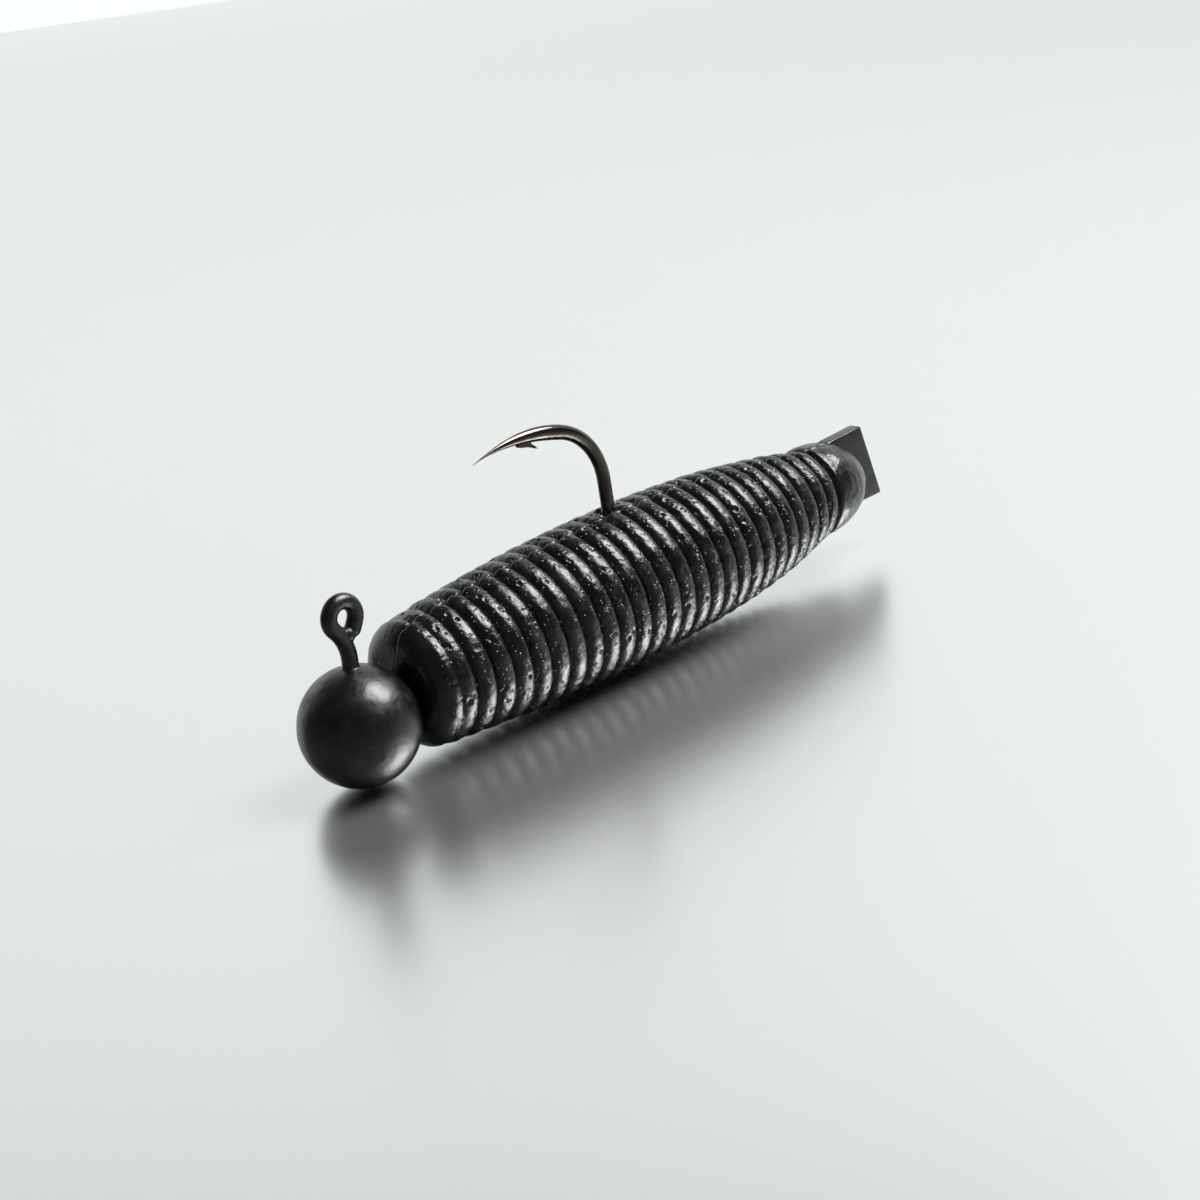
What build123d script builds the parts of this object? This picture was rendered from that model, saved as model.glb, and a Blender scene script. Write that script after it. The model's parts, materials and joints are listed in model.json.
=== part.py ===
# A ball jig head rigged with a ribbed soft bait, lying belly down.
#
# Everything is drawn about the ball's centre: X runs back along the shank to the tail, Z is up,
# and the hook and its line eye lie in the XZ plane. At the end all pieces move so that the
# origin is under the middle of the whole lure, at the height of the surface that it lies on.
# The soft bait is one moulding on the real lure. Behind the hook it is divided at its grooves
# into sections that turn a little on each other, as the plastic bends.
import os
from math import ceil, cos, radians, sin, tan

from build123d import *

# --- head: a sintered ball, slotted so that the bent wire can be laid in and sealed over ---
ball_radius = 2.75
slot_width = 0.95

# --- hook: one wire, from the line eye through the ball to the point ---
wire_radius = 0.35
leg_root_x = -0.09          # where the eye's leg would meet the shank's line
leg_lean = 5.0              # degrees that the leg leans back
leg_bend_radius = 0.90
leg_top_z = 3.02            # where the neck of the eye begins
neck_radius = 2.10
neck_turn = 45.0
eye_radius = 0.70           # centreline of the eye
eye_turn = 250.0
eye_tag = 0.36              # straight end of the wire, laid against the neck
bend_x = 16.20              # back of the hook's bend
lower_bend_radius = 4.40
upper_bend_start_z = 5.98
upper_bend_radius = 3.20
upper_bend_turn = 72.0
point_bow_radius = 9.20
point_turn = 34.0
forged_depth = 0.84         # in the hook's plane
forged_width = 0.60
forging_run = 1.00          # length over which the round wire turns into the forged bend
point_tip_size = 0.05
point_taper = [(0.00, 1.00), (0.30, 0.97), (0.55, 0.82), (0.80, 0.50)]  # along the point, size

# --- barb on the inner side of the point ---
barb_at = 0.40              # share of the point's length from the bend
barb_reach = 0.72
barb_height = 0.36
barb_width = 0.30

# --- keeper: a barbed sleeve on the shank that holds the bait up against the ball ---
keeper_x = 3.90
keeper_length = 3.20
keeper_wall = 0.16
keeper_barbs = 2
keeper_barb_height = 0.40
keeper_barb_length = 0.90

# --- soft bait ---
axis_rise = 0.76            # height of the bait's axis over the shank
seat_depth = 0.30           # how far the nose reaches over the back of the ball
nose_gap = 0.06             # between the ball and the seat pressed into the nose
nose_round = 0.75
nose_radius = 3.00
belly_radius = 3.87
belly_x = 15.5
tail_radius = 2.46
front_fullness = 1.9        # how slowly the body thins towards the nose
rear_fullness = 2.5         # and towards the tail
rib_pitch = 1.02
first_groove_x = 3.38
groove_depth = 0.30
hook_cover = 0.50           # least plastic behind the hook's bend, before the first hinge
ribs_per_section = 2
section_count = 6
sway_limit = 6.0            # degrees that one joint turns sideways
nod_limit = 8.0             # degrees that one joint turns up or down
turn_margin = 0.5
joint_gap = 0.03            # clearance on the axis between two sections

# --- smooth end of the tail, and the upright fin moulded on it ---
tail_length = 3.87
tail_shoulder = 0.60
fin_thickness = 0.75
fin_top = 2.36              # over the bait's axis
fin_bottom = -1.72
fin_top_reach = 0.72        # behind the tail's end, along the top edge
fin_bottom_reach = 1.85
fin_edge_round = 0.14

hook_back_x = bend_x + forged_depth / 2
ribs_on_hook = ceil((hook_back_x + hook_cover - first_groove_x) / rib_pitch)
hinge_count = section_count + 1
hinge_x = [
    first_groove_x + rib_pitch * (ribs_on_hook + ribs_per_section * i) for i in range(hinge_count)
]
tail_groove_x = hinge_x[-1]
hinge_limit = [sway_limit if i % 2 == 0 else nod_limit for i in range(hinge_count)]
tail_end_x = tail_groove_x + tail_length
nose_x = ball_radius - seat_depth
whole_front_x = -ball_radius
whole_rear_x = tail_end_x + fin_bottom_reach
belly_z = axis_rise - belly_radius


def unit(angle):
    """Direction in the hook's plane, from X towards Z."""
    return Vector(cos(radians(angle)), sin(radians(angle)))


def hook_lines():
    """The wire's centreline: the round part up to the bend, the bend, and the point."""
    leg_angle = 90 - leg_lean
    leg_top = Vector(leg_root_x, 0) + unit(leg_angle) * (leg_top_z / cos(radians(leg_lean)))
    bend_start = Vector(bend_x - lower_bend_radius, 0)
    forging_start = bend_start - Vector(forging_run, 0)
    neck = JernArc(leg_top, unit(leg_angle), neck_radius, neck_turn)
    eye = JernArc(neck @ 1, neck % 1, eye_radius, -eye_turn)
    tag = Line(eye @ 1, (eye @ 1) + (eye % 1) * eye_tag)
    leg = FilletPolyline(forging_start, (leg_root_x, 0), leg_top, radius=leg_bend_radius)
    lower = JernArc(bend_start, (1, 0), lower_bend_radius, 90)
    rise = Line(lower @ 1, (bend_x, upper_bend_start_z))
    upper = JernArc(rise @ 1, (0, 1), upper_bend_radius, upper_bend_turn)
    point = JernArc(upper @ 1, upper % 1, point_bow_radius, point_turn)
    return [leg, neck, eye, tag], [lower, rise, upper], point, (forging_start, bend_start)


def forged_section(place, along, scale=1.0):
    """An oval across the wire, deeper in the hook's plane than it is wide."""
    oval = Ellipse(scale * forged_width / 2, scale * forged_depth / 2)
    return Plane(origin=place, x_dir=(0, 1, 0), z_dir=along) * oval


def build_hook():
    """The hook's stretches, which make one wire when they are added up."""
    round_lines, bend_lines, point, (forging_start, bend_start) = hook_lines()
    upright = Plane.XZ
    round_path = upright * Wire([edge for line in round_lines for edge in line.edges()])
    start = Plane(origin=round_path @ 0, z_dir=round_path % 0)
    wire = sweep(start * Circle(wire_radius), path=round_path)

    bend_path = upright * Wire([edge for line in bend_lines for edge in line.edges()])
    bend = sweep(forged_section(bend_path @ 0, bend_path % 0), path=bend_path)

    shank_end = Plane(origin=(forging_start.X, 0, 0), x_dir=(0, 1, 0), z_dir=(1, 0, 0))
    forging = loft([
        shank_end * Circle(wire_radius),
        forged_section((bend_start.X, 0, 0), (1, 0, 0)),
    ])

    point_path = upright * point
    steps = point_taper + [(1.0, point_tip_size / forged_depth)]
    tapered = loft([forged_section(point_path @ u, point_path % u, size) for u, size in steps])
    return [wire, forging, bend, tapered, build_barb(point_path)]


def build_barb(point_path):
    """A sliver raised from the point's inner side, with its tip towards the bend."""
    root = Plane(origin=point_path @ barb_at, x_dir=-(point_path % barb_at), z_dir=(0, 1, 0))
    inner = forged_depth / 2
    outline = Polygon(
        (-barb_reach * 0.6, inner * 0.4),
        (barb_reach * 0.2, inner * 0.4),
        (barb_reach, inner + barb_height),
        align=None,
    )
    return extrude(root * outline, amount=barb_width / 2, both=True)


def build_slot():
    """The upper rear quadrant of the ball's middle, one slot wide."""
    side = 2 * ball_radius
    corner = Align.MIN
    block = Box(side, slot_width, side, align=(corner, Align.CENTER, corner))
    return Pos(leg_root_x - slot_width / 2, 0, -slot_width / 2) * block


def build_keeper():
    """A sleeve with conical barbs, each with its sharp shoulder towards the ball."""
    outer = wire_radius + keeper_wall
    barb_pitch = keeper_length / keeper_barbs
    outline = [(0, wire_radius), (0, outer)]
    for i in range(keeper_barbs):
        shoulder = i * barb_pitch + 0.3 * barb_pitch
        outline += [
            (shoulder, outer),
            (shoulder, outer + keeper_barb_height),
            (shoulder + keeper_barb_length, outer),
        ]
    outline += [(keeper_length, outer), (keeper_length, wire_radius)]
    return Pos(keeper_x, 0, 0) * revolve(Plane.XZ * Polygon(*outline, align=None), Axis.X)


def body_radius(x):
    """Radius over the crests of the ribs."""
    if x < belly_x:
        away = (belly_x - x) / (belly_x - nose_x)
        return belly_radius - (belly_radius - nose_radius) * away ** front_fullness
    away = (x - belly_x) / (tail_groove_x - belly_x)
    return belly_radius - (belly_radius - tail_radius) * away ** rear_fullness


def end_relief(index, radius):
    """How far a section's end face stands back from its hinge at this radius."""
    return joint_gap / 2 + radius * tan(radians(hinge_limit[index] / 2 + turn_margin))


def rib_edges(start, stop, start_relief=0.0, stop_relief=0.0):
    """Round ribs from one groove to another, each an arc over its crest."""
    count = round((stop - start) / rib_pitch)
    edges = []
    for i in range(count):
        low = start + i * rib_pitch
        high = low + rib_pitch
        left = low + (start_relief if i == 0 else 0)
        right = high - (stop_relief if i == count - 1 else 0)
        middle = (left + right) / 2
        edges.append(ThreePointArc(
            (left, groove_radius(low)), (middle, body_radius(middle)), (right, groove_radius(high))
        ))
    return edges


def groove_radius(x):
    return body_radius(x) - groove_depth


def turned(front_x, edges, rear_x):
    """A solid of revolution about the bait's axis, from one point on the axis to another."""
    outline = [Line((front_x, 0), edges[0] @ 0)] + edges + [Line(edges[-1] @ 1, (rear_x, 0))]
    outline.append(Line((rear_x, 0), (front_x, 0)))
    return Pos(0, 0, axis_rise) * revolve(Plane.XZ * make_face(outline), Axis.X)


def without(solid, fittings):
    """The solid with the room that each fitting takes up in it."""
    for fitting in fittings:
        solid -= fitting
    return solid


def build_front(fittings):
    """The nose with its seat for the ball, and the ribs that the shank holds, pierced by the wire."""
    shoulder_x = nose_x + nose_round
    flat_radius = nose_radius - nose_round
    shoulder = ThreePointArc(
        (nose_x, flat_radius),
        (nose_x + 0.22 * nose_round, flat_radius + 0.68 * nose_round),
        (shoulder_x, body_radius(shoulder_x)),
    )
    first_rib = ThreePointArc(
        shoulder @ 1,
        (shoulder_x + 0.4 * (first_groove_x - shoulder_x), body_radius(shoulder_x)),
        (first_groove_x, groove_radius(first_groove_x)),
    )
    face = Line((nose_x, 0), (nose_x, flat_radius))
    relief = end_relief(0, groove_radius(hinge_x[0]))
    edges = [face, shoulder, first_rib] + rib_edges(first_groove_x, hinge_x[0], 0, relief)
    outline = edges + [
        Line(edges[-1] @ 1, (hinge_x[0] - joint_gap / 2, 0)),
        Line((hinge_x[0] - joint_gap / 2, 0), (nose_x, 0)),
    ]
    body = Pos(0, 0, axis_rise) * revolve(Plane.XZ * make_face(outline), Axis.X)
    seat = Rot(0, 90, 0) * Sphere(ball_radius + nose_gap)
    return without(body, [seat] + fittings)


def build_section(index):
    """Two ribs with cone-shaped ends, which leave room to turn on both neighbours."""
    front_x, rear_x = hinge_x[index], hinge_x[index + 1]
    front_relief = end_relief(index, groove_radius(front_x))
    rear_relief = end_relief(index + 1, groove_radius(rear_x))
    edges = rib_edges(front_x, rear_x, front_relief, rear_relief)
    return turned(front_x + joint_gap / 2, edges, rear_x - joint_gap / 2)


def build_tail():
    """The smooth domed end behind the last groove."""
    relief = end_relief(section_count, groove_radius(tail_groove_x))
    crest = (tail_groove_x + tail_shoulder, tail_radius)
    rise = ThreePointArc(
        (tail_groove_x + relief, groove_radius(tail_groove_x)),
        (tail_groove_x + (relief + tail_shoulder) / 2, tail_radius - 0.25 * groove_depth),
        crest,
    )
    dome_length = tail_length - tail_shoulder
    dome = EllipticalCenterArc((crest[0], 0), dome_length, tail_radius, start_angle=0, arc_size=90)
    dome_end = (tail_end_x, 0)
    front = (tail_groove_x + joint_gap / 2, 0)
    outline = [Line(front, rise @ 0), rise, dome, Line(dome_end, front)]
    return Pos(0, 0, axis_rise) * revolve(Plane.XZ * make_face(outline), Axis.X)


def build_fin(tail):
    """An upright plate behind the dome, its lower corner further back than its upper one."""
    root_x = tail_groove_x + tail_shoulder
    outline = Polygon(
        (root_x, fin_bottom),
        (tail_end_x + fin_bottom_reach, fin_bottom),
        (tail_end_x + fin_top_reach, fin_top),
        (root_x + 0.9, fin_top - 0.1),
        align=None,
    )
    plate = extrude(Plane.XZ * outline, amount=fin_thickness / 2, both=True)
    long_edges = plate.edges().filter_by(Axis.Y, reverse=True)
    plate = fillet(long_edges.filter_by(lambda e: e.center().X > root_x + 0.1), fin_edge_round)
    return Pos(0, 0, axis_rise) * plate - tail


def build_all():
    hook = build_hook()
    keeper = build_keeper()
    ball = Sphere(ball_radius)
    slot = build_slot()
    parts = {
        "head_ball": ball - slot,
        "slot_filler": without(ball & slot, hook[:1]),
        "hook": sum(hook[1:], start=hook[0]),
        "bait_keeper": keeper,
        "bait_front": build_front(hook + [keeper]),
    }
    for i in range(section_count):
        parts[f"bait_section_{i + 1}"] = build_section(i)
    tail = build_tail()
    parts["bait_tail"] = tail
    parts["tail_fin"] = build_fin(tail)
    return parts


os.makedirs("parts", exist_ok=True)
to_origin = Pos(-(whole_front_x + whole_rear_x) / 2, 0, -belly_z)
for name, shape in build_all().items():
    export_step(to_origin * shape, f"parts/{name}.step")
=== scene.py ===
import json
import math
import bmesh
import bpy
from mathutils import Matrix, Vector, noise

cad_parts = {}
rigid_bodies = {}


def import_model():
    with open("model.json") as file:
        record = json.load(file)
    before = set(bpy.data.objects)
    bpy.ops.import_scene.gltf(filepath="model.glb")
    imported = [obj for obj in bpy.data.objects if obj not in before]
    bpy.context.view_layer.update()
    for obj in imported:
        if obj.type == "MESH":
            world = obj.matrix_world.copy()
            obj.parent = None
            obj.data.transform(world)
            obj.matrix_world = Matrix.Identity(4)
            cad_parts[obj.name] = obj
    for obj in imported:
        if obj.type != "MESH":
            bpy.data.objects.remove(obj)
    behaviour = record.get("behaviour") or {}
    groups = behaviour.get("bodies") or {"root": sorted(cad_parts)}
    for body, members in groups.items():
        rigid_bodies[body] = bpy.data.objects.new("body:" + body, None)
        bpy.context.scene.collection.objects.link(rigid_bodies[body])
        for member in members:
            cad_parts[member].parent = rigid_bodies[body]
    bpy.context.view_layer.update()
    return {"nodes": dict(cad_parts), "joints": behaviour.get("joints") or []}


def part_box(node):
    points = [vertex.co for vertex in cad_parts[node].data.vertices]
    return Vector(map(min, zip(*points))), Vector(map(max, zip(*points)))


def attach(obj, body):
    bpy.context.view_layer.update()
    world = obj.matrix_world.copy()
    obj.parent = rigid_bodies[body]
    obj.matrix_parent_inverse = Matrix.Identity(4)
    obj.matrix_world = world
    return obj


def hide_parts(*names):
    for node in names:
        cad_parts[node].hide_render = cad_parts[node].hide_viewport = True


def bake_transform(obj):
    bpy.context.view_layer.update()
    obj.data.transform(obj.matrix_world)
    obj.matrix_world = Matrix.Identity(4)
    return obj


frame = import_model()

mm = 0.001
scene = bpy.context.scene

# places that the frame gives, in millimetres from the middle of the ball
ballLow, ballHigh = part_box("head_ball")
ballRadius = (ballHigh.y - ballLow.y) / 2 / mm
ballMiddle = Vector((ballLow.x / mm + ballRadius, 0, ballLow.z / mm + ballRadius))
hinges = [j["pos_m"][0] / mm - ballMiddle.x for j in frame["joints"]]
chain = [frame["joints"][0]["parent"]] + [j["child"] for j in frame["joints"]]
ribPitch = (hinges[1] - hinges[0]) / 2
frontLow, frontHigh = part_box("bait_front")
axisRise = (frontLow.z + frontHigh.z) / 2 / mm - ballMiddle.z
noseX = frontLow.x / mm - ballMiddle.x
tailLow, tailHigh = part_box("bait_tail")
tailEndX = tailHigh.x / mm - ballMiddle.x
finLow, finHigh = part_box("tail_fin")
print("frame loaded:", len(frame["nodes"]), "nodes, rib pitch", round(ribPitch, 3))


def smooth(low, high, value):
    t = min(1.0, max(0.0, (value - low) / (high - low)))
    return t * t * (3 - 2 * t)


def bump(distance, width):
    return math.exp(-(distance / width) ** 2)


def toPiece(bm, name, material, sharp=40):
    # millimetres about the ball become metres in the frame
    bmesh.ops.transform(bm, matrix=Matrix.Translation(ballMiddle), verts=bm.verts)
    bmesh.ops.scale(bm, vec=(mm, mm, mm), verts=bm.verts)
    for face in bm.faces:
        face.smooth = True
    for edge in bm.edges:
        if len(edge.link_faces) == 2 and edge.calc_face_angle(0) > math.radians(sharp):
            edge.smooth = False
    mesh = bpy.data.meshes.new(name)
    bm.to_mesh(mesh)
    bm.free()
    piece = bpy.data.objects.new(name, mesh)
    scene.collection.objects.link(piece)
    piece.data.materials.append(material)
    return piece


class Wire:
    # a socket that can be added, multiplied and so on
    def __init__(self, tree, socket=None):
        self.tree, self.socket = tree, socket

    def node(self, kind, settings=None, inputs=None, out=0):
        made = self.tree.nodes.new(kind)
        for name, value in (settings or {}).items():
            setattr(made, name, value)
        for key, value in (inputs or {}).items():
            if isinstance(value, Wire):
                self.tree.links.new(value.socket, made.inputs[key])
            else:
                made.inputs[key].default_value = value
        return Wire(self.tree, made.outputs[out])

    def sum(self, operation, a, b=None):
        inputs = {0: a} if b is None else {0: a, 1: b}
        return self.node("ShaderNodeMath", {"operation": operation}, inputs)

    def __add__(self, other):
        return self.sum("ADD", self, other)

    def __sub__(self, other):
        return self.sum("SUBTRACT", self, other)

    def __rsub__(self, other):
        return self.sum("SUBTRACT", other, self)

    def __mul__(self, other):
        return self.sum("MULTIPLY", self, other)

    __radd__ = __add__
    __rmul__ = __mul__

    def ramp(self, low, high, start=0.0, end=1.0):
        limits = {0: self, 1: low, 2: high, 3: start, 4: end}
        return self.node("ShaderNodeMapRange", {"interpolation_type": "SMOOTHSTEP"}, limits)

    def mix(self, first, second):
        # a colour between two, this wire being the share of the second
        return self.node("ShaderNodeMix", {"data_type": "RGBA"}, {0: self, 6: first, 7: second}, out=2)


def newMaterial(name, fixed):
    material = bpy.data.materials.new(name)
    material.use_nodes = True
    tree = material.node_tree
    tree.nodes.clear()
    shader = tree.nodes.new("ShaderNodeBsdfPrincipled")
    output = tree.nodes.new("ShaderNodeOutputMaterial")
    tree.links.new(shader.outputs[0], output.inputs[0])
    for key, value in fixed.items():
        shader.inputs[key].default_value = value
    wire = Wire(tree)
    place = wire.node("ShaderNodeTexCoord", out=3)
    return material, shader, wire, place


def feed(shader, wire, **varied):
    names = {"colour": "Base Color", "rough": "Roughness", "normal": "Normal"}
    for key, value in varied.items():
        wire.tree.links.new(value.socket, shader.inputs[names[key]])


def grain(wire, place, perMetre, detail=3.0, rough=0.5, out=0):
    return wire.node("ShaderNodeTexNoise", None,
                     {"Vector": place, "Scale": perMetre, "Detail": detail, "Roughness": rough}, out)


def relief(wire, height, depth, normal=None):
    inputs = {"Height": height, "Distance": depth, "Strength": 1.0}
    if normal is not None:
        inputs["Normal"] = normal
    return wire.node("ShaderNodeBump", None, inputs)


def scattered(wire, place, perMetre, share, size):
    # round spots in some of the cells: 1 in the middle of a spot
    spot = {"Vector": place, "Scale": perMetre}
    cells = wire.node("ShaderNodeTexVoronoi", None, spot)
    pick = wire.node("ShaderNodeTexVoronoi", None, spot, out=1)
    chosen = wire.node("ShaderNodeSeparateColor", None, {0: pick}).ramp(*share)
    return (1 - cells.ramp(*size)) * chosen


paintLook = {"dark": (0.003, 0.003, 0.0036, 1), "worn": (0.009, 0.009, 0.011, 1),
             "roughLow": 0.31, "roughHigh": 0.44,
             "ripple": 0.000034, "orangePeel": 0.000014, "speck": 0.000006}


def paintMaterial():
    # brushed-on satin enamel: slow ripples, fine orange peel, a few dust specks
    material, shader, wire, place = newMaterial("satinBlackPaint", {"Specular IOR Level": 0.6})
    slow = grain(wire, place, 700, 2)
    fine = grain(wire, place, 4200, 5, 0.6)
    patches = grain(wire, place, 1500, 4).ramp(0.45, 0.75)
    dust = wire.node("ShaderNodeTexVoronoi", None, {"Vector": place, "Scale": 1800.0})
    specks = 1 - dust.ramp(0.05, 0.14)
    colour = (patches * 0.6 + specks * 0.4).mix(paintLook["dark"], paintLook["worn"])
    spread = paintLook["roughHigh"] - paintLook["roughLow"]
    rough = patches * spread + paintLook["roughLow"]
    normal = relief(wire, slow, paintLook["ripple"])
    normal = relief(wire, fine, paintLook["orangePeel"], normal)
    normal = relief(wire, specks, paintLook["speck"], normal)
    feed(shader, wire, colour=colour, rough=rough, normal=normal)
    return material


nickelLook = {"plate": (0.12, 0.108, 0.098, 1), "tint": (0.062, 0.052, 0.044, 1), "scratch": 0.0000015}


def nickelMaterial():
    # black nickel over drawn and forged wire: faint draw lines and a smoky tint
    material, shader, wire, place = newMaterial("blackNickel", {"Metallic": 1.0})
    cloud = grain(wire, place, 900, 3).ramp(0.35, 0.7)
    drawn = wire.node("ShaderNodeMapping", None, {"Vector": place, "Scale": (1, 9, 1)})
    lines = grain(wire, drawn, 5000, 4)
    colour = cloud.mix(nickelLook["plate"], nickelLook["tint"])
    rough = lines * 0.12 + cloud * 0.06 + 0.10
    normal = relief(wire, lines, nickelLook["scratch"])
    feed(shader, wire, colour=colour, rough=rough, normal=normal)
    return material


# the plastic's body colour; a lighter bloom that also paints the far half's reflection; white salt that also
# paints glints; a near black painted shade for pits, grooves and the seam
plasticLook = {"body": (0.0045, 0.005, 0.0062, 1), "bloomAndFarReflection": (0.012, 0.0135, 0.017, 1),
               "saltAndGlint": (0.62, 0.64, 0.65, 1), "roughLow": 0.15, "roughHigh": 0.33,
               "grainScale": 5600.0, "grainShare": (0.74, 0.80), "grainSize": (0.06, 0.24),
               "holeScale": 2900.0, "holeShare": (0.45, 0.50), "holeSize": (0.14, 0.30),
               "pitAndGrooveShade": (0.0008, 0.0008, 0.0009, 1), "wander": 0.00004, "relief": 0.000030}


def plasticMaterial():
    # salted soft plastic: oily sheen, dull bloom on the crests, salt grains and the holes that they
    # left; the skins carry where grit lies, which half is the far one and how deep in a groove it is;
    # the salt grains are white, partly real salt and partly painted glints; the far half is painted
    # lighter as a painted reflection; holes, grooves and the seam are painted near black as painted shade
    material, shader, wire, place = newMaterial("saltedSoftPlastic", {"Specular IOR Level": 0.6})
    p = plasticLook
    saltAndGlint, grit, far, hollow = [wire.node("ShaderNodeAttribute", {"attribute_name": name}, out=2)
                               for name in ("saltAndGlint", "grit", "farHalf", "hollow")]
    # hollow: how deep in a groove or the seam a point lies, used to paint painted shade there
    hollow = hollow.ramp(0.35, 0.9)
    cloud = grain(wire, place, 1300, 4).ramp(0.4, 0.68)
    fine = grain(wire, place, 5200, 5, 0.62)
    wander = grain(wire, place, 9000, 2, out=1)
    bent = wire.node("ShaderNodeVectorMath", {"operation": "MULTIPLY_ADD"},
                     {0: wander, 1: (p["wander"],) * 3, 2: place})
    # salt grains, painted white: partly real salt, partly painted glints
    grains = scattered(wire, bent, p["grainScale"], p["grainShare"], p["grainSize"]) * grit
    holes = scattered(wire, bent, p["holeScale"], p["holeShare"], p["holeSize"]) * grit
    # random bloom from the cloud, and the far half painted lighter as a painted reflection of the bright wall
    colour = (cloud * 0.7 + far * 0.5).mix(p["body"], p["bloomAndFarReflection"])
    # pits, grooves and the seam painted near black: painted shade
    colour = holes.sum("MAXIMUM", holes, hollow).mix(colour, p["pitAndGrooveShade"])
    # white salt grains and spots: partly real salt, partly painted glints
    colour = grains.mix(colour, p["saltAndGlint"])
    colour = saltAndGlint.mix(colour, p["saltAndGlint"])
    spread = cloud * (p["roughHigh"] - p["roughLow"]) * (grit * 0.7 + 0.3)
    rough = spread + p["roughLow"] + holes * 0.2 + hollow * 0.35
    normal = relief(wire, fine, p["relief"])
    normal = relief(wire, grains - holes * 1.6, p["relief"], normal)
    feed(shader, wire, colour=colour, rough=rough, normal=normal)
    return material


def steelMaterial():
    # drawn wire under the bait
    fixed = {"Metallic": 1.0, "Base Color": (0.5, 0.5, 0.52, 1)}
    material, shader, wire, place = newMaterial("drawnSteel", fixed)
    lines = grain(wire, place, 6000, 4)
    feed(shader, wire, rough=lines * 0.2 + 0.25, normal=relief(wire, lines, 0.000002))
    return material


paint, nickel, plastic, steel = paintMaterial(), nickelMaterial(), plasticMaterial(), steelMaterial()
print("materials made")


wireForm = {
    "radius": 0.35, "legRootX": -0.09, "legLean": 5.0, "legBend": 0.90, "legTopZ": 3.02,
    "neck": 2.10, "neckTurn": 45.0, "eye": 0.70, "eyeTurn": 250.0, "tag": 0.38,
    "bendX": 16.20, "lowerBend": 4.40, "riseZ": 5.98, "upperBend": 3.20, "upperTurn": 72.0,
    "pointBow": 9.2, "pointTurn": 34.0,
    "forgedDepth": 0.84, "forgedWidth": 0.60, "forgingX": (10.8, 12.2),
    "barbAt": 0.40, "barbWidth": 0.28, "step": 0.06, "sides": 40,
}


def walkWire(start, heading, moves, step):
    # straight runs and arcs, walked in the hook's plane; a move is a length or (radius, turn)
    points, place, angle = [Vector(start)], Vector(start), math.radians(heading)
    for move in moves:
        if isinstance(move, tuple):
            radius, turn = move[0], math.radians(move[1])
            count = max(2, round(radius * abs(turn) / step))
            bend, stride = turn / count, radius * abs(turn) / count
        else:
            count = max(1, round(move / step))
            bend, stride = 0.0, move / count
        for _ in range(count):
            angle += bend / 2
            place = place + Vector((math.cos(angle), 0, math.sin(angle))) * stride
            angle += bend / 2
            points.append(place)
    return points


def tube(points, radii, sides):
    # a ring carried along the points by extrusion, closed at both ends
    bm = bmesh.new()
    normal = Vector((0, 1, 0))
    loop = None
    for i, point in enumerate(points):
        along = (points[min(i + 1, len(points) - 1)] - points[max(i - 1, 0)]).normalized()
        across = normal.cross(along)
        if loop is None:
            made = bmesh.ops.create_circle(bm, cap_ends=True, segments=sides, radius=1)
            ring = made["verts"]
            loop = list(bm.edges)
        else:
            made = bmesh.ops.extrude_edge_only(bm, edges=loop)["geom"]
            ring = [g for g in made if isinstance(g, bmesh.types.BMVert)]
            loop = [g for g in made if isinstance(g, bmesh.types.BMEdge) and g.is_boundary]
        for k, vertex in enumerate(ring):
            turn = 2 * math.pi * k / sides
            vertex.co = point + (normal * math.cos(turn) + across * math.sin(turn)) * radii[i]
    bmesh.ops.contextual_create(bm, geom=loop)
    bmesh.ops.recalc_face_normals(bm, faces=bm.faces)
    return bm


def legMoves(f):
    lean = math.radians(f["legLean"])
    turn = 90 + f["legLean"]
    cut = f["legBend"] * math.tan(math.radians(turn / 2))
    rise = f["legTopZ"] / math.cos(lean)
    return turn, cut, rise


def eyeMoves(f):
    return [(f["neck"], f["neckTurn"]), (f["eye"], -f["eyeTurn"]), f["tag"]]


def buildHook():
    f = wireForm
    turn, cut, rise = legMoves(f)
    start = (f["bendX"] - f["lowerBend"], 0, 0)
    shank = start[0] - f["legRootX"] - cut
    moves = [shank, (f["legBend"], -turn), rise - cut] + eyeMoves(f)
    toEye = walkWire(start, 180, moves, f["step"])
    bend = [(f["lowerBend"], 90), f["riseZ"] - f["lowerBend"], (f["upperBend"], f["upperTurn"]),
            (f["pointBow"], f["pointTurn"])]
    toPoint = walkWire(start, 0, bend, f["step"])
    points = toEye[::-1] + toPoint[1:]
    pointLength = f["pointBow"] * math.radians(f["pointTurn"])
    radii = []
    for i in range(len(points)):
        left = (len(points) - 1 - i) * f["step"] / pointLength   # 0 at the tip, 1 where the taper starts
        radii.append(f["radius"] * (smooth(-0.02, 0.9, left) ** 0.8 + 0.03 if left < 1 else 1.0))
    bm = tube(points, radii, f["sides"])
    forge(bm, f)
    addBarb(bm, points, pointLength, f)
    return bm


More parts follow.
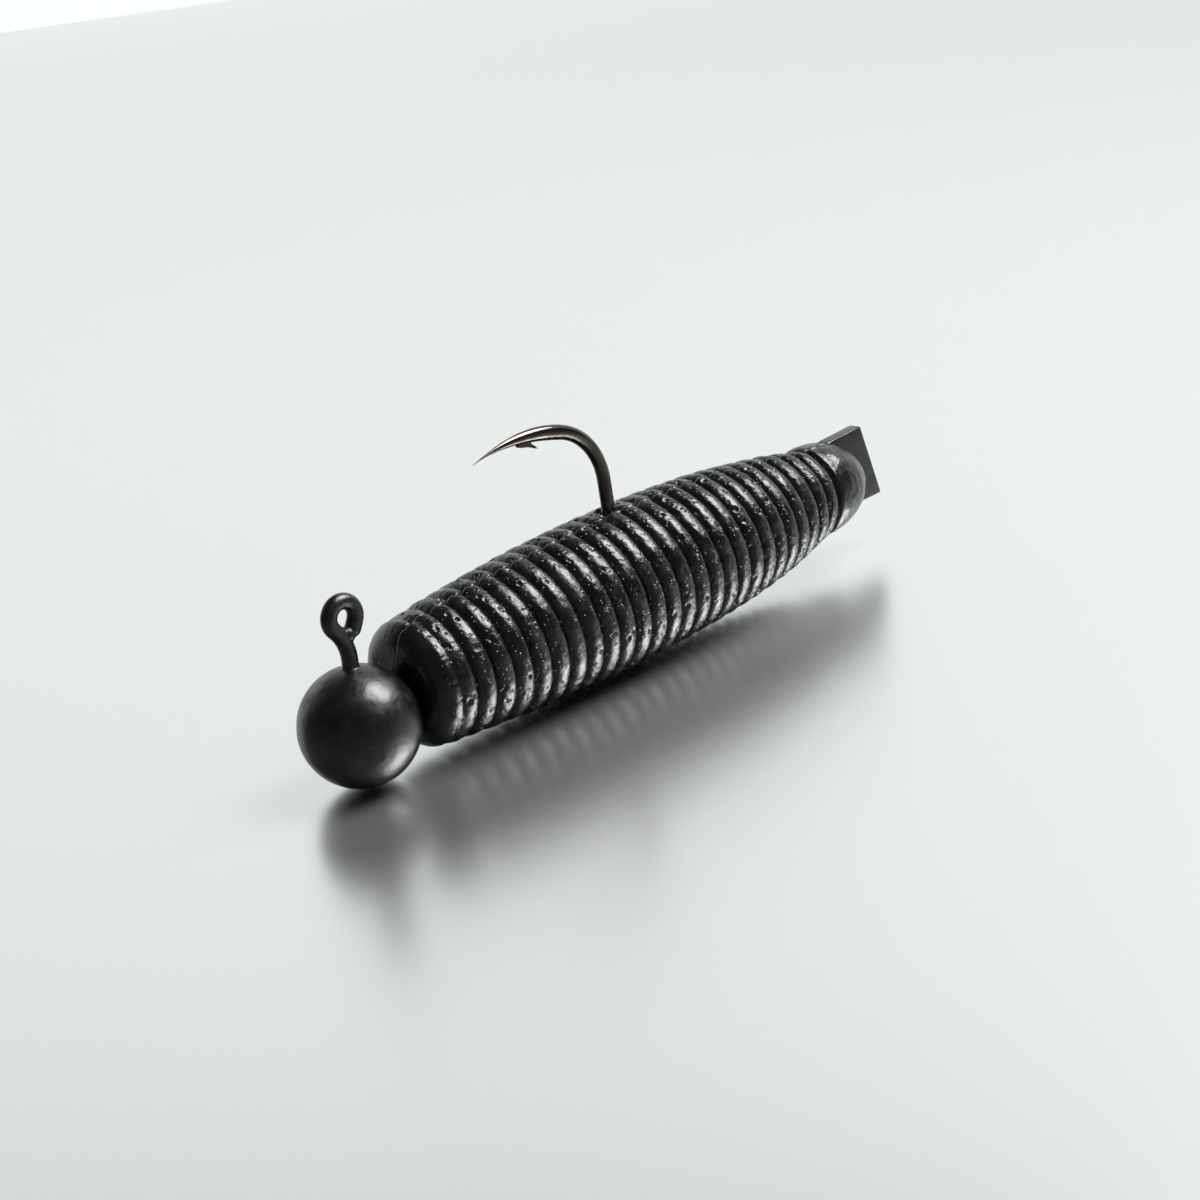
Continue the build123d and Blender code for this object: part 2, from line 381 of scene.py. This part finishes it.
def addBarb(bm, points, pointLength, f):
    # a sliver cut up from the inner side of the point, aimed at the bend
    root = len(points) - 1 - round(pointLength * (1 - f["barbAt"]) / f["step"])
    along = (points[root - 1] - points[root + 1]).normalized()
    inner = Vector((along.z, 0, -along.x))
    if inner.z > 0:
        inner = -inner
    half = f["forgedDepth"] / 2
    outline = [(-0.55, 0.5 * half), (-0.50, 0.93 * half), (0.05, half + 0.06), (0.42, half + 0.20),
               (0.66, half + 0.27), (0.44, half + 0.07), (0.26, 0.92 * half), (0.20, 0.5 * half)]
    sides = []
    for y in (-0.5, 0.5):
        ring = []
        for forward, out in outline:
            thin = f["barbWidth"] * (1 - 0.7 * smooth(0.0, 0.75, forward))
            place = points[root] + along * forward + inner * out + Vector((0, y * thin, 0))
            ring.append(bm.verts.new(place))
        sides.append(ring)
    count = len(outline)
    faces = [bm.faces.new(sides[0]), bm.faces.new(sides[1][::-1])]
    for i in range(count):
        j = (i + 1) % count
        faces.append(bm.faces.new((sides[0][i], sides[0][j], sides[1][j], sides[1][i])))
    bmesh.ops.recalc_face_normals(bm, faces=faces)


def forge(bm, f):
    # the bend is pressed deeper in its own plane and flatter at its sides
    for vertex in bm.verts:
        x, z = vertex.co.x, vertex.co.z
        share = smooth(*f["forgingX"], x) if z < f["riseZ"] else 1.0
        if x < ballRadius:
            share = 0.0   # the line eye stays round
        vertex.co.y *= 1 - share * (1 - f["forgedWidth"] / 2 / f["radius"])


hookPiece = toPiece(buildHook(), "hookWire", nickel, 30)
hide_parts("hook")
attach(hookPiece, chain[0])
print("hook made")


baitForm = {
    "noseRadius": 3.00, "noseRound": 1.00, "bellyRadius": 3.87, "bellyX": 15.5, "tailRadius": 2.46,
    "frontFullness": 1.9, "rearFullness": 2.5, "grooveDepth": 0.38, "tailShoulder": 0.60,
    "lean": 0.30, "halfShift": 0.42, "seamStep": 0.13, "seamDepth": 0.30, "seamWidth": 0.095,
    "seamZigzag": 0.09, "seamTurn": 0.15, "seat": 0.04, "around": 280, "perRib": 20,
    "pitCell": 0.40, "pitSize": 0.16,
    "pitDepth": 0.10, "wobble": 0.035, "tailGroove": 0.16, "finePit": 0.03, "rim": 0.10,
    "domeLength": 0.9, "blendShare": 0.7, "faceRings": 8, "noseTurns": 12, "domeTurns": 14,
}
firstGroove = hinges[0] - 14 * ribPitch
tailGroove = hinges[-1]


def bodyRadius(x):
    b = baitForm
    if x < b["bellyX"]:
        away = (b["bellyX"] - x) / (b["bellyX"] - noseX)
        return b["bellyRadius"] - (b["bellyRadius"] - b["noseRadius"]) * away ** b["frontFullness"]
    away = min(1.0, (x - b["bellyX"]) / (tailGroove - b["bellyX"]))
    return b["bellyRadius"] - (b["bellyRadius"] - b["tailRadius"]) * away ** b["rearFullness"]


def ribHeight(x):
    # 0 in a groove, 1 on a crest: round ridges with narrow grooves
    phase = ((x - firstGroove) / ribPitch) % 1.0
    return (max(0.0, 1 - abs(2 * phase - 1) ** 2.5)) ** 0.65


def seamPlace(x):
    # the mould halves' ribs end at different places, so the seam zigzags
    wave = math.sin(2 * math.pi * (x - firstGroove) / ribPitch)
    return baitForm["seamZigzag"] * max(-1.0, min(1.0, 2.5 * wave))


def halfAt(x, along):
    # 0 on the near half, 1 on the far one; along is the arc length past the top or bottom seam
    return smooth(-0.04, 0.04, along - seamPlace(x))


def surface(x, angle):
    # the bait's radius at a station and an angle, which is 0 at the near side and 90 degrees on top
    b = baitForm
    along = (abs(angle) - math.pi / 2) * bodyRadius(x)
    far = halfAt(x, along)
    ribbed = smooth(noseX + 0.6, noseX + 1.3, x) * (1 - smooth(tailGroove - 0.1, tailGroove + 0.25, x))
    shift = b["halfShift"] * ribPitch * smooth(noseX + 0.5, 6.0, x)
    height = ribHeight(x) * (1 - far) + ribHeight(x - shift) * far
    radius = bodyRadius(x) - b["grooveDepth"] * (1 - height) * ribbed
    shoulder = tailGroove + b["tailShoulder"]
    if x > shoulder:
        radius = b["tailRadius"] * math.sqrt(max(0.0, 1 - ((x - shoulder) / (tailEndX - shoulder)) ** 2))
    if x > tailGroove:
        radius -= b["tailGroove"] * bump(x - tailGroove, b["tailGroove"])
    seam = 1 - 0.75 * smooth(tailGroove, tailGroove + 0.5, x)
    radius -= seam * b["seamDepth"] * bump(along - seamPlace(x), b["seamWidth"])
    radius -= seam * b["seamStep"] * far
    # hollow marks the grooves and the seam, which the plastic paints near black as painted shade
    hollow = max(ribbed * (1 - height), seam * bump(along - seamPlace(x), 1.3 * b["seamWidth"]))
    return radius, hollow, far


def dress(bm):
    # waves, salt spots (painted white in the plastic, partly real salt and partly painted glints), the holes
    # that it left and the hook's exit, pressed into the turned skin
    b = baitForm
    saltAndGlint = bm.verts.layers.float.new("saltAndGlint")
    gritty = bm.verts.layers.float.new("grit")
    for vertex in bm.verts:
        x, y, z = vertex.co
        reach = math.hypot(y, z)
        if reach < 0.8:
            continue
        outward = Vector((0, y / reach, z / reach))
        spot = vertex.co.copy()
        off = b["wobble"] * (noise.noise(spot * 0.9) + 0.6 * noise.noise(spot * 2.7) - 0.4)
        ribbed = smooth(noseX + 0.3, noseX + 1.0, x) * (1 - smooth(tailGroove - 0.1, tailGroove + 0.3, x))
        vertex[gritty] = ribbed
        distance, centres = noise.voronoi(spot / b["pitCell"])
        here = noise.cell(centres[0] * 3.7 + Vector((5, 9, 2)))
        size = b["pitSize"] / b["pitCell"] * (0.55 + 0.75 * here)
        if here > 0.35:
            off -= b["pitDepth"] * ribbed * (1 - smooth(0.3 * size, size, distance[0]))
            # salt spots, painted white in the plastic: partly real salt, partly painted glints
            grit = noise.cell(centres[0] * 9.1 + Vector((1, 4, 7)))
            if grit > 0.75:
                vertex[saltAndGlint] = ribbed * (1 - smooth(0.15 * size, 0.45 * size, distance[0])) * grit
        fine, _ = noise.voronoi(spot / 0.23)
        off -= b["finePit"] * ribbed * (1 - smooth(0.10, 0.36, fine[0]))
        off += b["rim"] * hookRim(x, y, z)
        vertex.co += outward * off


def hookRim(x, y, z):
    # plastic pushed up around the wire where it comes out of the back
    if z < axisRise:
        return 0.0
    away = math.hypot(x - wireForm["bendX"], y)
    return bump(away - 0.62, 0.22) - 2.5 * bump(away, 0.40)


def leaning(x, angle):
    # the ribs stand with their tops a little towards the head
    along = smooth(noseX + 0.4, 9.0, x) * (1 - smooth(tailGroove - 5, tailGroove, x))
    return baitForm["lean"] * along * math.sin(angle)


def skin(fromX, toX, closedFront, closedRear):
    # a profile turned about the bait's axis, then each ring put where the surface runs
    b = baitForm
    count = round((toX - fromX) / ribPitch * b["perRib"])
    stations = [fromX + (toX - fromX) * i / count for i in range(count + 1)]
    face = []   # rings on the flat nose, each a station and its share of the radius
    if closedFront:
        rings, turns = b["faceRings"], b["noseTurns"]
        face = [(noseX, (i + 1) / (rings + 1)) for i in range(rings)]
        stations = [noseX + b["noseRound"] * (1 - math.cos(math.pi / 2 * i / turns)) for i in range(turns)] + \
            [s for s in stations if s > noseX + b["noseRound"]]
    if closedRear:
        dome, turns = b["domeLength"], b["domeTurns"]
        stations = [s for s in stations if s < tailEndX - dome] + \
            [tailEndX - dome * (1 - math.sin(math.pi / 2 * i / turns)) for i in range(turns)]
    bm = bmesh.new()
    line = [bm.verts.new((s, -share, 0)) for s, share in face + [(s, 1.0) for s in stations]]
    for first, second in zip(line, line[1:]):
        bm.edges.new((first, second))
    bmesh.ops.spin(bm, geom=bm.verts[:] + bm.edges[:], cent=(0, 0, 0), axis=(1, 0, 0), dvec=(0, 0, 0),
                   angle=2 * math.pi, steps=b["around"], use_merge=True)
    # hollow: groove and seam depth, which the plastic paints near black as painted shade
    hollows = bm.verts.layers.float.new("hollow")
    # farHalf: the far half, which the plastic paints lighter as a painted reflection
    farHalf = bm.verts.layers.float.new("farHalf")
    for vertex in bm.verts:
        x = vertex.co.x
        share = math.hypot(vertex.co.y, vertex.co.z)
        angle = math.atan2(vertex.co.z, -vertex.co.y)
        angle -= 0.35 * math.sin(angle - math.pi / 2)   # more of them near the top seam
        radius, vertex[hollows], vertex[farHalf] = surface(x, angle)
        angle -= b["seamTurn"]
        if closedFront and x < noseX + b["noseRound"]:
            t = max(0.0, (x - noseX) / b["noseRound"])
            radius -= b["noseRound"] * (1 - math.sqrt(1 - (1 - t) ** 2))
        radius *= share
        vertex.co = Vector((x - leaning(x, angle), -radius * math.cos(angle), radius * math.sin(angle)))
        fromBall = vertex.co + Vector((0, 0, axisRise))
        if fromBall.length < ballRadius + b["seat"]:
            vertex.co = fromBall.normalized() * (ballRadius + b["seat"]) - Vector((0, 0, axisRise))
    return bm


def closeEnds(bm):
    # each end gets a fan of faces round a pole
    rims = [e for e in bm.edges if e.is_boundary]
    bmesh.ops.holes_fill(bm, edges=rims, sides=0)
    bmesh.ops.poke(bm, faces=[f for f in bm.faces if len(f.verts) > 4])


def buildSkin(index):
    first, last = index == 0, index == len(hinges) - 1
    fromX = noseX if first else hinges[index] - ribPitch
    toX = tailEndX if last else hinges[index] + ribPitch
    bm = skin(fromX, toX, first, last)
    dress(bm)
    closeEnds(bm)
    bmesh.ops.remove_doubles(bm, verts=bm.verts, dist=0.0005)
    bmesh.ops.recalc_face_normals(bm, faces=bm.faces)
    bmesh.ops.translate(bm, vec=(0, 0, axisRise), verts=bm.verts)
    return bm


skinNames = ["baitFrontSkin"] + [f"baitSkin{i}" for i in range(1, len(hinges) - 1)] + ["baitTailSkin"]
for i, name in enumerate(skinNames):
    piece = toPiece(buildSkin(i), name, plastic, 60)
    nodes = ["bait_front"] if i == 0 else [f"bait_section_{i}"]
    if i == len(hinges) - 1:
        nodes.append("bait_tail")
    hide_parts(*nodes)
    middle = (hinges[i] + ballMiddle.x) * mm
    half = baitForm["blendShare"] * ribPitch * mm
    middle - half
    middle + half
    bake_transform(piece)
    print(name, len(piece.data.polygons), "faces")


finForm = {"root": 0.9, "rootSlant": 0.9, "rearSlant": 1.13, "topDrop": 0.1, "edge": 0.12}


def buildFin():
    # a slanted plate with softened edges, its root inside the dome
    f = finForm
    low, high = finLow / mm - ballMiddle, finHigh / mm - ballMiddle
    thick = high.y - low.y
    root = tailGroove + f["root"]
    bm = bmesh.new()
    outline = [(root, low.z), (high.x, low.z), (high.x - f["rearSlant"], high.z),
               (root + f["rootSlant"], high.z - f["topDrop"])]
    corners = [bm.verts.new((x, -thick / 2, z)) for x, z in outline]
    face = bm.faces.new(corners)
    made = bmesh.ops.extrude_face_region(bm, geom=[face])["geom"]
    farSide = [g for g in made if isinstance(g, bmesh.types.BMVert)]
    bmesh.ops.translate(bm, vec=(0, thick, 0), verts=farSide)
    bmesh.ops.bevel(bm, geom=bm.edges[:], offset=f["edge"], segments=4, affect="EDGES", profile=0.5,
                    material=-1)
    bmesh.ops.triangulate(bm, faces=[f for f in bm.faces if len(f.verts) > 4])
    bmesh.ops.subdivide_edges(bm, edges=bm.edges[:], cuts=3, use_grid_fill=True)
    bmesh.ops.recalc_face_normals(bm, faces=bm.faces)
    return bm


finPiece = toPiece(buildFin(), "tailFin", plastic, 50)
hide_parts("tail_fin")
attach(finPiece, chain[-1])


paintForm = {"cell": 0.042, "rounds": 5, "lift": 0.014, "wall": 0.02, "drop": 0.37, "sides": 36,
             "stemFrom": 1.8}


def buildHead():
    # a ball and the wire of the line eye, under one coat of paint that rounds the corners between them
    f, p = wireForm, paintForm
    turn, cut, rise = legMoves(f)
    low = p["stemFrom"]
    lean = math.radians(f["legLean"])
    start = (f["legRootX"] + math.tan(lean) * low, 0, low)
    points = walkWire(start, 90 - f["legLean"], [rise - low / math.cos(lean)] + eyeMoves(f), f["step"])
    bm = tube(points, [f["radius"] + p["wall"]] * len(points), p["sides"])
    nearest = min(points[:len(points) // 2], key=lambda point: (point - points[-1]).length)
    for place in (points[-1], (points[-1] + nearest) / 2):   # paint bridges the loop's end and its neck
        bmesh.ops.create_icosphere(bm, subdivisions=4, radius=p["drop"], matrix=Matrix.Translation(place))
    bmesh.ops.create_icosphere(bm, subdivisions=5, radius=ballRadius - p["lift"])
    piece = toPiece(bm, "paintedHead", paint, 180)
    coat = piece.modifiers.new("coat", "REMESH")
    coat.mode, coat.voxel_size, coat.use_smooth_shade = "VOXEL", p["cell"] * mm, True
    ease = piece.modifiers.new("ease", "SMOOTH")
    ease.factor, ease.iterations = 0.5, p["rounds"]
    finished = piece.evaluated_get(bpy.context.evaluated_depsgraph_get())
    mesh = bpy.data.meshes.new_from_object(finished)
    piece.modifiers.clear()
    piece.data = mesh
    for vertex in mesh.vertices:
        spot = vertex.co / mm - ballMiddle
        away = spot.normalized() if spot.length < ballRadius + 0.1 else Vector()
        lift = 0.012 * noise.noise(spot * 0.8) + 0.006 * noise.noise(spot * 2.5)
        vertex.co += away * lift * mm
    return piece


headPiece = buildHead()
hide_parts("head_ball", "slot_filler")
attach(headPiece, chain[0])

keeper = frame["nodes"]["bait_keeper"]
keeper.data.materials.clear()
keeper.data.materials.append(steel)
print("head made")


shot = {"azimuth": -41.23, "elevation": 20.22, "roll": 9.01, "distance": 90.0, "lens": 62.3,
        "aim": (9.29, -6.27, 3.48)}


def addCamera():
    azimuth, elevation = math.radians(shot["azimuth"]), math.radians(shot["elevation"])
    back = Vector((math.sin(azimuth) * math.cos(elevation), -math.cos(azimuth) * math.cos(elevation),
                   math.sin(elevation)))
    data = bpy.data.cameras.new("camera")
    data.lens, data.sensor_width = shot["lens"], 36
    data.clip_start, data.clip_end = 0.002, 5
    camera = bpy.data.objects.new("camera", data)
    scene.collection.objects.link(camera)
    facing = (-back).to_track_quat("-Z", "Y").to_matrix().to_4x4()
    roll = Matrix.Rotation(math.radians(-shot["roll"]), 4, "Z")
    place = (Vector(shot["aim"]) + ballMiddle + back * shot["distance"]) * mm
    camera.matrix_world = Matrix.Translation(place) @ facing @ roll
    scene.camera = camera
    return camera


camera = addCamera()


def addKeyLight():
    # its way is given in the camera's terms: right, up, back to the camera
    data = bpy.data.lights.new("softbox", "AREA")
    data.size, data.energy = room["keySize"], room["keyPower"]
    light = bpy.data.objects.new("softbox", data)
    scene.collection.objects.link(light)
    way = (camera.matrix_world.to_3x3() @ Vector(room["keyWay"])).normalized()
    target = Vector(room["keyAim"])
    facing = way.to_track_quat("Z", "Y").to_matrix().to_4x4()
    light.matrix_world = Matrix.Translation(target + way * room["keyDistance"]) @ facing


# the key light stands high at the right, and a glowing white wall far behind
room = {"keyWay": (0.456, 0.869, 0.195), "keyAim": (0, 0, 0.003), "keyDistance": 0.22,
        "keySize": 0.13, "keyPower": 0.92,
        "floor": (8, 8), "floorLow": (0.818, 0.835, 0.828, 1), "floorHigh": (0.822, 0.839, 0.832, 1),
        "wall": (4.0, 0.9), "wallAhead": 0.9, "wallHeight": 0.35, "wallGlow": 0.86,
        "air": (0.93, 0.96, 0.95, 1), "airStrength": 0.08}


def addPlane(name, size, matrix, material):
    bm = bmesh.new()
    bmesh.ops.create_grid(bm, x_segments=1, y_segments=1, size=0.5,
                          matrix=matrix @ Matrix.Diagonal((*size, 1, 1)))
    mesh = bpy.data.meshes.new(name)
    bm.to_mesh(mesh)
    bm.free()
    plane = bpy.data.objects.new(name, mesh)
    plane.data.materials.append(material)
    scene.collection.objects.link(plane)


def addRoom():
    # a satin floor that the ball and the belly both touch, and a glowing white wall beyond it
    material, shader, wire, place = newMaterial("paleFloor", {"Metallic": 0.92})
    cloud = grain(wire, place, 1500, 3)
    colour = cloud.mix(room["floorLow"], room["floorHigh"])
    feed(shader, wire, colour=colour, rough=cloud * 0.006 + 0.267)
    touch = Vector((baitForm["bellyX"] + ballMiddle.x, 0, -0.03)) * mm
    sink = (ballMiddle.z - ballRadius) / baitForm["bellyX"]
    tilt = Matrix.Translation(touch) @ Matrix.Rotation(math.atan(sink), 4, "Y")
    addPlane("floor", room["floor"], tilt, material)
    fixed = {"Base Color": (0.8, 0.8, 0.8, 1), "Roughness": 0.9, "Emission Color": (0.97, 1.0, 0.99, 1),
             "Emission Strength": room["wallGlow"]}
    glow = newMaterial("whiteWall", fixed)[0]
    ahead = camera.matrix_world.to_3x3() @ Vector((0, 0, -1))
    ahead = Vector((ahead.x, ahead.y, 0)).normalized()
    facing = (-ahead).to_track_quat("Z", "Y").to_matrix().to_4x4()
    middle = ahead * room["wallAhead"] + Vector((0, 0, room["wallHeight"]))
    addPlane("wall", room["wall"], Matrix.Translation(middle) @ facing, glow)


addKeyLight()
addRoom()
world = bpy.data.worlds.new("room")
world.use_nodes = True
air = world.node_tree.nodes["Background"]
air.inputs[0].default_value, air.inputs[1].default_value = room["air"], room["airStrength"]
scene.world = world
scene.view_settings.view_transform = "Standard"
print("stage set")
